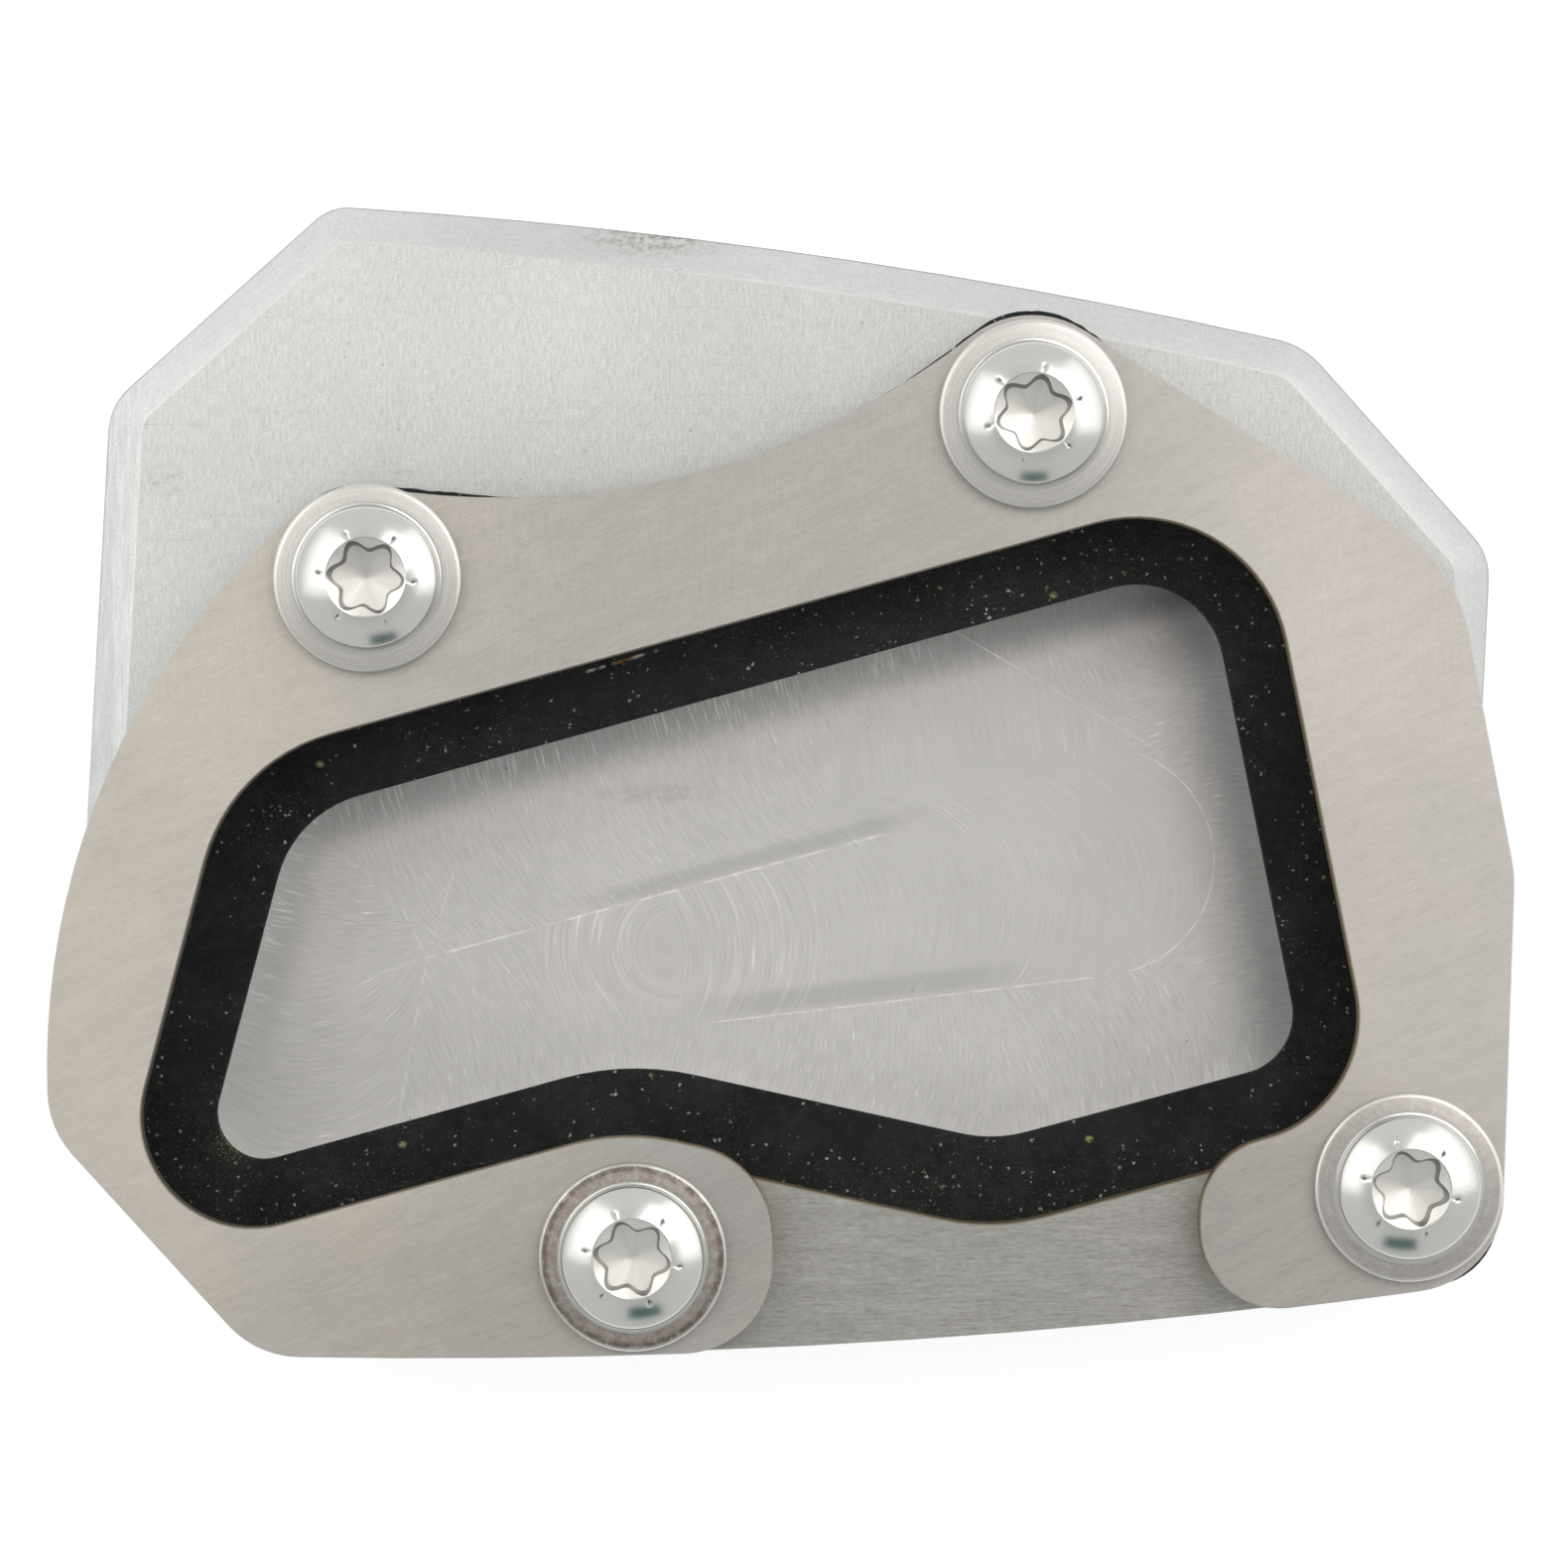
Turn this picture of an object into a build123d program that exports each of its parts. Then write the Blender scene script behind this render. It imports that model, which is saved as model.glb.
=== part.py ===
from build123d import *
import os

# Kickstand foot enlarger: a wide ground plate with a clamp that grips the foot of a side stand.
# Millimetres. +X runs along the plate, +Y across it, and +Z up. The base rests on Z = 0, with the
# origin under the middle of the whole part.

# Overall size from above
length = 106.2
width = 83.9

# Heights of the layers, from the ground up
base_height = 10.0
pad_height = 2.0
ring_height = 4.0
clamp_height = 3.0

# Base plate
base_chamfer = 2.6
ground_chamfer = 0.8
base_inset = 0.3  # how far the base stands back under the plates
pocket_depth = 3.0
pocket_undercut = 0.3  # the pocket runs under the pad's edge by this much

# Rubber pad
pad_seat = 6.1  # width of rubber under the stand's foot
pad_opening_shift = 0.35  # the pad's opening sits this far to the right of the foot's middle
pad_overhang = 0.25
pad_sharper = 2.0  # the pad's corners are rounded this much less than the plates'

# Clamp plate
lip = 1.5  # how far the clamp reaches over the stand's foot
left_tab_reach = 10.1  # from the screw to the tab's end
right_tab_reach = 15.0
tab_end_flat = 0.2  # what is left straight between the two round corners of a tab's end
plate_corner = 7.0  # radius of the plates' main corners
upper_left_ear = (-2.4, 7.1)  # from the screw to the corner of the plates round it
upper_right_ear = (-0.7, 8.8)
lower_right_ear = (6.7, -6.7)

# Screws: flange button heads with a lobed recess
screw_diameter = 6.0
screw_length = 16.0
flange_diameter = 13.6
flange_rim = 0.8
dome_foot = 1.2  # height at which the dome rises from the flange
dome_diameter = 10.5
dome_top_diameter = 6.4
head_height = 3.3
recess_diameter = 5.6
recess_waist = 3.95
recess_flute_radius = 1.2
recess_lobes = 6
recess_depth = 1.7
hole_clearance = 0.6
thread_clearance = 0.1

# Sides of the whole part, which every place is measured from
left = -length / 2
right = length / 2
bottom = -width / 2
top = width / 2

# Screw places, with the turn of each recess in degrees
upper_left_screw = (left + 23.4, top - 27.5)
upper_right_screw = (right - 34.9, top - 15.7)
lower_left_screw = (left + 42.5, bottom + 7.6)
lower_right_screw = (right - 7.9, bottom + 12.6)
screw_turns = {
    upper_left_screw: 54.0,
    upper_right_screw: 16.5,
    lower_left_screw: 50.5,
    lower_right_screw: 47.0,
}


def beside(place, step):
    """Return the point that lies one step across and up from a place."""
    return (place[0] + step[0], place[1] + step[1])


# Outlines, clockwise. Each corner is its point, its radius and the outward bow of its next edge.
# The stand's foot, which the ring closes around
foot_corners = [
    ((left + 1.7, bottom + 4.1), 9.5, 0.0),
    ((left + 12.3, top - 39.5), 14.5, 0.0),
    ((right - 17.8, top - 18.5), 12.5, 0.0),
    ((right - 8.2, bottom + 17.2), 10.5, 0.0),
    ((right - 37.7, bottom + 9.3), 16.0, 0.0),
    ((left + 41.8, bottom + 15.15), 14.0, 0.0),
]

# Ring and clamp, with an ear round each upper screw
plate_corners = [
    ((left + 0.5, bottom + 16.7), plate_corner, 6.5),
    (beside(upper_left_screw, upper_left_ear), plate_corner, -6.3),
    (beside(upper_right_screw, upper_right_ear), plate_corner, 0.0),
    ((right - 4.5, top - 26.3), 12.0, 0.0),
    ((right - 0.2, bottom + 35.1), 10.0, 0.0),
    (beside(lower_right_screw, lower_right_ear), plate_corner, 1.9),
    ((left + 15.4, bottom + 0.4), plate_corner, 0.0),
]

# Wing of the base plate, which stands out past the plates. Its two sharp corners lie under them.
wing_corners = [
    ((left + 1.6, bottom + 27.6), 0.0, 0.0),
    ((left + 3.9, top - 14.5), 4.5, 0.0),
    ((left + 20.1, top + 0.1), 3.5, 1.5),
    ((right - 14.7, top - 10.1), 6.0, 0.0),
    ((right - 1.0, top - 25.5), 4.5, 0.0),
    ((right - 2.0, bottom + 38.1), 0.0, 0.0),
]


def trace(corners):
    """Draw the edges from corner to corner, straight or bowed, into the open line."""
    for (point, _, bow), (next_point, _, _) in zip(corners, corners[1:] + corners[:1]):
        if bow:
            SagittaArc(point, next_point, bow)
        else:
            Line(point, next_point)


def round_corners(sketch, corners, sharper=0.0):
    """Round each corner of the open sketch that has a radius of its own."""
    for point, radius, _ in corners:
        if radius:
            fillet(sketch.vertices().sort_by_distance(point)[0], radius - sharper)


# Levels of the layers
pad_level = base_height
ring_level = pad_level + pad_height
clamp_level = ring_level + ring_height
head_level = clamp_level + clamp_height

# Flat shapes that the pieces share
with BuildSketch() as foot_outline:
    with BuildLine():
        trace(foot_corners)
    make_face()
    round_corners(foot_outline, foot_corners)

with BuildSketch() as plate_outline:
    with BuildLine():
        trace(plate_corners)
    make_face()
    round_corners(plate_outline, plate_corners)

with BuildSketch() as pad_outline:
    with BuildLine():
        trace(plate_corners)
    make_face()
    round_corners(pad_outline, plate_corners, pad_sharper)
    offset(amount=pad_overhang, mode=Mode.REPLACE)

with BuildSketch() as clamp_opening:
    add(foot_outline.sketch)
    offset(amount=-lip, mode=Mode.REPLACE)

with BuildSketch() as pad_opening:
    with Locations((pad_opening_shift, 0)):
        add(foot_outline.sketch)
    offset(amount=-pad_seat, mode=Mode.REPLACE)

with BuildSketch() as screw_holes:
    with Locations(*screw_turns):
        Circle((screw_diameter + hole_clearance) / 2)

# Block of the base plate, which lies under the plates
with BuildPart() as base_block:
    with BuildSketch():
        add(plate_outline.sketch)
        offset(amount=-base_inset, mode=Mode.REPLACE)
    extrude(amount=base_height)
    chamfer(base_block.faces().sort_by(Axis.Z)[0].edges(), ground_chamfer)

# Base plate: its block and its chamfered wing, with a milled pocket and tapped holes
with BuildPart() as base_plate:
    with BuildSketch() as wing_outline:
        with BuildLine():
            trace(wing_corners)
        make_face()
        round_corners(wing_outline, wing_corners)
    extrude(amount=base_height)
    chamfer(base_plate.faces().sort_by(Axis.Z)[-1].edges(), base_chamfer)
    chamfer(base_plate.faces().sort_by(Axis.Z)[0].edges(), ground_chamfer)
    add(base_block.part)
    with BuildSketch(Plane.XY.offset(base_height)):
        add(pad_opening.sketch)
        offset(amount=pocket_undercut, mode=Mode.REPLACE)
    extrude(amount=-pocket_depth, mode=Mode.SUBTRACT)
    with Locations(*[(x, y, base_height) for x, y in screw_turns]):
        Hole(screw_diameter / 2 + thread_clearance)

# Rubber pad that the stand's foot rests on
with BuildPart() as rubber_pad:
    with BuildSketch(Plane.XY.offset(pad_level)):
        add(pad_outline.sketch)
        add(pad_opening.sketch, mode=Mode.SUBTRACT)
        add(screw_holes.sketch, mode=Mode.SUBTRACT)
    extrude(amount=pad_height)

# Closed ring that fits round the stand's foot
with BuildPart() as spacer_ring:
    with BuildSketch(Plane.XY.offset(ring_level)):
        add(plate_outline.sketch)
        add(foot_outline.sketch, mode=Mode.SUBTRACT)
        add(screw_holes.sketch, mode=Mode.SUBTRACT)
    extrude(amount=ring_height)

# Clamp plate: its lip reaches over the foot, and its mouth lets the stand's leg through
mouth_left = lower_left_screw[0] + left_tab_reach
mouth_right = lower_right_screw[0] - right_tab_reach
with BuildPart() as clamp_plate:
    with BuildSketch(Plane.XY.offset(clamp_level)) as clamp_face:
        add(plate_outline.sketch)
        add(clamp_opening.sketch, mode=Mode.SUBTRACT)
        with Locations((mouth_left, 0)):
            Rectangle(
                mouth_right - mouth_left,
                width,
                align=(Align.MIN, Align.MAX),
                mode=Mode.SUBTRACT,
            )
        for mouth_side in (mouth_left, mouth_right):
            upright_edges = clamp_face.edges().filter_by(Axis.Y)
            tab_end = upright_edges.sort_by(lambda edge: abs(edge.center().X - mouth_side))[0]
            fillet(tab_end.vertices(), (tab_end.length - tab_end_flat) / 2)
        add(screw_holes.sketch, mode=Mode.SUBTRACT)
    extrude(amount=clamp_height)

# One screw, with its head seated on the origin. Its dome is a slice of a ball centred on its axis.
dome_edge = Vector(dome_diameter / 2, dome_foot)
dome_top = Vector(dome_top_diameter / 2, head_height)
dome_centre = (dome_top.dot(dome_top) - dome_edge.dot(dome_edge)) / (2 * (head_height - dome_foot))
dome_radius = (dome_top - Vector(0, dome_centre)).length
with BuildPart() as screw:
    with BuildSketch(Plane.XZ):
        with BuildLine():
            Polyline(
                (0, head_height),
                (0, -screw_length),
                (screw_diameter / 2, -screw_length),
                (screw_diameter / 2, 0),
                (flange_diameter / 2, 0),
                (flange_diameter / 2, flange_rim),
                dome_edge,
            )
            RadiusArc(dome_edge, dome_top, -dome_radius)
            Line(dome_top, (0, head_height))
        make_face()
    revolve(axis=Axis.Z)
    with BuildSketch(Plane.XY.offset(head_height)):
        Circle(recess_diameter / 2)
        flute_circle = recess_waist / 2 + recess_flute_radius
        with PolarLocations(flute_circle, recess_lobes, start_angle=180 / recess_lobes):
            Circle(recess_flute_radius, mode=Mode.SUBTRACT)
    extrude(amount=-recess_depth, mode=Mode.SUBTRACT)

# All four screws, seated on the clamp
screw_seats = [Location((x, y, head_level), (0, 0, turn)) for (x, y), turn in screw_turns.items()]
with BuildPart() as flange_screws:
    with Locations(*screw_seats):
        add(screw.part)

# Files, one for each piece
os.makedirs("parts", exist_ok=True)
pieces = {
    "base_plate": base_plate,
    "rubber_pad": rubber_pad,
    "spacer_ring": spacer_ring,
    "clamp_plate": clamp_plate,
    "flange_screws": flange_screws,
}
for name, piece in pieces.items():
    piece.part.label = name
    export_step(piece.part, f"parts/{name}.step")
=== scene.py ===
"""Kickstand foot enlarger: a milled base, a rubber pad, a ring, a clamp and four flange screws."""

import logging
import math
from dataclasses import dataclass
from enum import Enum
from typing import Any, Callable, Union

import bmesh
import bpy
from mathutils import Matrix, Vector, noise


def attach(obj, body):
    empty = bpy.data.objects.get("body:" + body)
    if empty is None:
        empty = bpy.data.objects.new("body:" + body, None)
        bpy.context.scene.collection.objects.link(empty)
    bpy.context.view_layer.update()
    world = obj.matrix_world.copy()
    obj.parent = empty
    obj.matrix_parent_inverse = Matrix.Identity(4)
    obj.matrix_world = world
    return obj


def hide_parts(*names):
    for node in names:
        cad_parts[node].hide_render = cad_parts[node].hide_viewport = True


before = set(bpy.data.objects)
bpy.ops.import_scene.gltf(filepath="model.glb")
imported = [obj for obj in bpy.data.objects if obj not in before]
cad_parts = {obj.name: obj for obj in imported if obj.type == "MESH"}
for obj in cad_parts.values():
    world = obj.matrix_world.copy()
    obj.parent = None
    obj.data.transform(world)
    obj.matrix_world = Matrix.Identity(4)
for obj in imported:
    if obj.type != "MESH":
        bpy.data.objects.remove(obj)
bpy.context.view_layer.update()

MM = 0.001  # one millimetre, in metres
MERGE = 0.0005  # points nearer to each other than this, in millimetres, are one
BODY = "root"
log = logging.getLogger("foot_enlarger")

Material = bpy.types.Material
Node = bpy.types.Node
Shape = bmesh.types.BMesh
Colour = tuple[float, float, float, float]
Point = tuple[float, float]
Triple = tuple[float, float, float]
Run = tuple[Point, Point]  # the two ends of a line
Spot = tuple[Point, Point]  # the middle and the half sizes of a patch


class Slot(Enum):
    """Finishes that the record names."""

    BASE = "milled_aluminium"
    PAD = "black_rubber"
    RING = "ring_steel"
    CLAMP = "brushed_clamp_steel"
    SCREWS = "plated_screw_steel"


class Stroke(Enum):
    """Ways that a plate is brushed, as the angle of the strokes from +X."""

    LEVEL = 1.5
    SLANTED = 24.0


def shade(red: int, green: int, blue: int) -> Colour:
    """Return the surface colour, in linear light, that a screen shows at three levels from 0 to 255."""
    parts = [level / 255.0 for level in (red, green, blue)]
    return (*(part / 12.92 if part <= 0.04045 else ((part + 0.055) / 1.055) ** 2.4 for part in parts), 1.0)


class Field:
    """A level that varies over a surface, with the sums that nodes can do on it."""

    def __init__(self, board: "Board", socket: bpy.types.NodeSocket) -> None:
        """Keep the board and the socket that the level comes from."""
        self.board = board
        self.socket = socket

    def __add__(self, other: "Level") -> "Field":
        """Return the sum of two levels."""
        return self.board.math("ADD", self, other)

    def __sub__(self, other: "Level") -> "Field":
        """Return the difference of two levels."""
        return self.board.math("SUBTRACT", self, other)

    def __rsub__(self, other: float) -> "Field":
        """Return a number less this level."""
        return self.board.math("SUBTRACT", other, self)

    def __mul__(self, other: "Level") -> "Field":
        """Return the product of two levels."""
        return self.board.math("MULTIPLY", self, other)

    __radd__ = __add__
    __rmul__ = __mul__

    def above(self, other: "Level") -> "Field":
        """Return the larger of two levels."""
        return self.board.math("MAXIMUM", self, other)

    def below(self, other: "Level") -> "Field":
        """Return the smaller of two levels."""
        return self.board.math("MINIMUM", self, other)

    def size(self) -> "Field":
        """Return the level without its sign."""
        return self.board.math("ABSOLUTE", self)

    def root(self) -> "Field":
        """Return the square root of the level, or 0 where it is negative."""
        return self.board.math("SQRT", self.above(0.0))

    def hypot(self, other: "Field") -> "Field":
        """Return the long side of a right triangle whose other sides are the two levels."""
        return (self * self + other * other).root()

    def over(self, other: "Level") -> "Field":
        """Return 1 where this level is greater than the other, and 0 elsewhere."""
        return self.board.math("GREATER_THAN", self, other)

    def rise(self, start: float, end: float) -> "Field":
        """Return a smooth step from 0 at the start to 1 at the end.

        Args:
            start: Level at which the step begins.
            end: Level at which it is whole. It may lie below the start.

        Returns:
            The step.
        """
        low, high, flip = min(start, end), max(start, end), float(end < start)
        settings = {"Value": self, "From Min": low, "From Max": high, "To Min": flip, "To Max": 1.0 - flip}
        made = self.board.fill(self.board.node("MapRange", interpolation_type="SMOOTHSTEP"), settings)
        return Field(self.board, made.outputs["Result"])

    def toward(self, other: "Level", share: "Field") -> "Field":
        """Return the level that lies a share of the way from this one to another."""
        return self + share * (other - self)

    def within(self, start: float, end: float, soft: float) -> "Field":
        """Return 1 between two levels and 0 outside them, with soft sides."""
        return self.rise(start - soft, start + soft) * self.rise(end + soft, end - soft)


Level = Union[Field, float]
Tint = Union[Field, Colour]


class Board:
    """A node tree on which levels and colours are worked out."""

    def __init__(self, tree: bpy.types.NodeTree) -> None:
        """Keep the tree that nodes are added to."""
        self.tree = tree

    def node(self, kind: str, **settings: Any) -> Node:
        """Add a node.

        Args:
            kind: Kind of node, without the prefix that all of them have.
            settings: Properties of the node.

        Returns:
            The new node.
        """
        made = self.tree.nodes.new("ShaderNode" + kind)
        for name, value in settings.items():
            setattr(made, name, value)
        return made

    def feed(self, socket: bpy.types.NodeSocket, value: Union[Field, Colour, float]) -> None:
        """Link a field into a socket, or set the socket to a constant."""
        if isinstance(value, Field):
            self.tree.links.new(value.socket, socket)
        else:
            socket.default_value = value

    def fill(self, node: Node, values: dict[str, Any]) -> Node:
        """Feed the sockets of a node that the values name, and return the node."""
        for name, value in values.items():
            self.feed(node.inputs[name], value)
        return node

    def result(self, node: Node, *levels: Level) -> Field:
        """Feed the first sockets of a node, and return what the node gives."""
        for socket, level in zip(node.inputs, levels):
            self.feed(socket, level)
        return Field(self, node.outputs[0])

    def math(self, operation: str, *levels: Level) -> Field:
        """Return the result of one sum on one or two levels."""
        return self.result(self.node("Math", operation=operation), *levels)

    def join(self, x: Level, y: Level, z: Level = 0.0) -> Field:
        """Return a place made of three levels."""
        return self.result(self.node("CombineXYZ"), x, y, z)

    def split(self, place: Field) -> tuple[Field, Field, Field]:
        """Return the three levels that a place is made of."""
        made = self.node("SeparateXYZ")
        self.feed(made.inputs[0], place)
        return Field(self, made.outputs[0]), Field(self, made.outputs[1]), Field(self, made.outputs[2])

    def scaled(self, place: Field, factor: Level) -> Field:
        """Return a place or a colour times a factor."""
        made = self.node("VectorMath", operation="SCALE")
        self.feed(made.inputs[0], place)
        self.feed(made.inputs["Scale"], factor)
        return Field(self, made.outputs[0])

    def cloud(self, x: Level, y: Level, z: Level = 0.0, detail: float = 2.0, rough: float = 0.5) -> Field:
        """Return noise, mostly near 0.5, with one swell to a unit and finer layers of the given number and strength."""
        settings = {"Vector": self.join(x, y, z), "Scale": 1.0, "Detail": detail, "Roughness": rough}
        return Field(self, self.fill(self.node("TexNoise"), settings).outputs[0])

    def grains(self, x: Level, y: Level, z: Level = 0.0) -> tuple[Field, Field, Field]:
        """Scatter one grain in each cell of a unit.

        Args:
            x: First coordinate.
            y: Second coordinate.
            z: Third coordinate.

        Returns:
            The distance from the nearest grain, and two chances from 0 to 1 that are fixed for each grain.
        """
        made = self.fill(self.node("TexVoronoi", feature="F1"), {"Vector": self.join(x, y, z), "Scale": 1.0})
        first, second, _ = self.split(Field(self, made.outputs["Color"]))
        return Field(self, made.outputs["Distance"]), first, second

    def tint(self, amount: Level, first: Tint, second: Tint) -> Field:
        """Return a colour between two colours.

        Args:
            amount: Share of the second colour.
            first: Colour at 0.
            second: Colour at 1.

        Returns:
            The colour.
        """
        made = self.node("Mix", data_type="RGBA")
        self.feed(made.inputs[0], amount)
        self.feed(made.inputs[6], first)
        self.feed(made.inputs[7], second)
        return Field(self, made.outputs[2])

    def layered(self, colour: Tint, *layers: tuple[Level, Tint]) -> Tint:
        """Lay colours over a first one, each with its share, and return the result."""
        for amount, tint in layers:
            colour = self.tint(amount, colour, tint)
        return colour


class Recipe(Board):
    """Material that is worked out from places in millimetres."""

    def __init__(self, name: str, attribute: str = "") -> None:
        """Start a material.

        Args:
            name: Name of the material.
            attribute: Attribute that holds the places, in millimetres, instead of the piece's own ones.
        """
        self.material = bpy.data.materials.new(name)
        self.material.use_nodes = True
        super().__init__(self.material.node_tree)
        self.shader = next(node for node in self.tree.nodes if node.type == "BSDF_PRINCIPLED")
        if attribute:
            read = self.node("Attribute", attribute_name=attribute)
            place = Field(self, read.outputs["Vector"])
        else:
            read = self.node("TexCoord")
            place = self.scaled(Field(self, read.outputs["Object"]), 1.0 / MM)
        self.x, self.y, self.z = self.split(place)
        geometry = self.node("NewGeometry")
        facing_x, facing_y, self.up = self.split(Field(self, geometry.outputs["Normal"]))
        self.outward = facing_x * self.x + facing_y * self.y

    def turned(self, angle: float) -> tuple[Field, Field]:
        """Return the levels along and across a direction, which is given in degrees from +X."""
        cos, sin = math.cos(math.radians(angle)), math.sin(math.radians(angle))
        return self.x * cos + self.y * sin, self.y * cos - self.x * sin

    def run(self, start: Point, end: Point) -> tuple[Field, Field]:
        """Measure from a straight run between two points.

        Args:
            start: First point, in millimetres.
            end: Last point.

        Returns:
            The level along the run from its start, and the level to the left of it.
        """
        along = Vector((end[0] - start[0], end[1] - start[1])).normalized()
        first, second = self.x - start[0], self.y - start[1]
        return first * along.x + second * along.y, second * along.x - first * along.y

    def spot(self, centre: Point, reach: Point, soft: float = 0.5) -> Field:
        """Return a patch with the given half sizes, 1 in its middle, of which the soft share fades out."""
        first, second = (self.x - centre[0]) * (1 / reach[0]), (self.y - centre[1]) * (1 / reach[1])
        return first.hypot(second).rise(1.0, 1.0 - soft)

    def finish(self, colour: Tint, rough: Level, metal: float, relief: Field, depth: float) -> Material:
        """Set the shader.

        Args:
            colour: Colour of the surface.
            rough: Roughness of the surface.
            metal: 1 for bare metal and 0 for other stuff.
            relief: Height of the fine relief, from 0 to 1.
            depth: Depth of that relief, in millimetres.

        Returns:
            The material.
        """
        bump = self.fill(self.node("Bump"), {"Strength": 1.0, "Distance": depth * MM, "Height": relief})
        self.tree.links.new(bump.outputs["Normal"], self.shader.inputs["Normal"])
        self.fill(self.shader, {"Base Color": colour, "Roughness": rough, "Metallic": metal})
        return self.material


@dataclass(frozen=True)
class BrushedAluminium:
    """Finish of the base plate's flat faces: short upright strokes, fine grain, faint scratches and small marks."""

    pale: Colour = shade(205, 206, 203)
    stain: Colour = shade(150, 148, 138)
    marks: tuple[Spot, Spot] = (((-45.0, 21.8), (2.2, 1.8)), ((2.8, 36.6), (2.6, 1.2)))
    scratch_angle: float = 38.0

    def dress(self) -> Material:
        """Return the material."""
        recipe = Recipe("base_brushed")
        x, y = recipe.x, recipe.y
        strokes = recipe.cloud(x * 5.0, y * 1.1, 1.0, 3.0, 0.65)
        grain = recipe.cloud(x * 6.5, y * 6.5, 3.0, 1.0)
        bands = recipe.cloud(x * 1.1, y * 0.12, 5.0, 1.0)
        patch = recipe.cloud(x * 0.09, y * 0.06, 8.0, 2.0)
        speck, chance, _ = recipe.grains(x * 0.8 + grain * 0.3, y * 0.8 + grain * 0.3)
        pits = (chance * 0.1 - speck).rise(0.0, 0.03) * chance.over(0.72)
        along, across = recipe.turned(self.scratch_angle)
        scratch = recipe.cloud(along * 0.09, across * 5.0, 2.0, 1.0).rise(0.66, 0.76) * patch.rise(0.35, 0.55)
        scratch = scratch.above(recipe.cloud(x * 0.08, y * 5.0, 6.0, 1.0).rise(0.68, 0.77))
        blot = recipe.cloud(x * 1.6, y * 1.6, 6.0, 4.0, 0.7).rise(0.45, 0.65) * recipe.up.rise(0.0, 0.5)
        first, second = (recipe.spot(*mark, 0.9) for mark in self.marks)
        gleam = 1.0 + (strokes - 0.5) * 0.58 + (grain - 0.5) * 0.34 + (bands - 0.5) * 0.05 + (patch - 0.5) * 0.16
        # Painted shade darkens the plate towards the right, and painted light makes it a little lighter towards the
        # back.
        gleam = gleam - pits * 0.3 - scratch * 0.1 - x.rise(-38.0, 25.0) * 0.13 + y.rise(20.0, 32.0) * 0.04
        colour = recipe.tint(first.above(second) * blot * 0.4, self.pale, self.stain)
        rough = 0.62 + (strokes - 0.5) * 0.16
        relief = strokes * 0.6 + grain * 0.4 - scratch * 0.3
        return recipe.finish(recipe.scaled(colour, gleam), rough, 1.0, relief, 0.012)


@dataclass(frozen=True)
class CutAluminium:
    """Finish of the base plate's chamfers and walls: mottled by the cutter, with a stain by the back edge."""

    pale: Colour = shade(213, 214, 212)
    stain: Colour = shade(122, 114, 102)
    chamfer_foot: float = 7.4
    stained: Spot = ((-9.0, 39.7), (7.5, 2.0))
    darker_stretch: Spot = ((-17.0, 39.5), (20.0, 7.0))

    def dress(self) -> Material:
        """Return the material."""
        recipe = Recipe("base_cut")
        x, y, z = recipe.x, recipe.y, recipe.z
        mottle = recipe.cloud(x * 4.0, y * 4.0, z * 4.0, 3.0, 0.7)
        bands = recipe.cloud((x + y) * 0.4, (x - y) * 0.4, z * 5.0, 1.0)
        cut = z.rise(self.chamfer_foot - 0.8, self.chamfer_foot)
        edge = z.within(self.chamfer_foot - 0.2, self.chamfer_foot + 0.1, 0.04) * recipe.up.rise(0.1, 0.3)
        streaks = (recipe.cloud(x * 4.0, y * 0.3, z * 0.4, 3.0, 0.7) - 0.5) * x.rise(-44.0, -47.0) * cut
        blot = recipe.cloud(x * 1.6, y * 2.4, 6.0, 4.0, 0.75).rise(0.4, 0.64) * cut
        speck, chance, _ = recipe.grains(x * 1.1 + mottle * 0.4, y * 1.1 + mottle * 0.4, z * 1.1)
        pits = (chance * 0.12 - speck).rise(0.0, 0.04) * chance.over(0.6)
        gleam = 1.0 + (mottle - 0.5) * 0.42 + (bands - 0.5) * 0.1 + streaks * 0.45 - pits * 0.35
        # Painted shade darkens the chamfers a little towards the back and more towards the right.
        gleam = gleam * (cut * 0.15 + 0.85) * (1.0 - y.rise(26.0, 37.0) * 0.03) * (1.06 - x.rise(-46.0, 30.0) * 0.12)
        # A wide stretch by the back edge is darker.
        gleam = gleam * (1.0 - edge * 0.4) * (1.0 - recipe.spot(*self.darker_stretch, 0.9) * 0.09)
        colour = recipe.tint(recipe.spot(*self.stained, 0.9) * blot * 0.6, self.pale, self.stain)
        return recipe.finish(recipe.scaled(colour, gleam), 0.62 + (mottle - 0.5) * 0.15, 1.0, mottle, 0.02)


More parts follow.
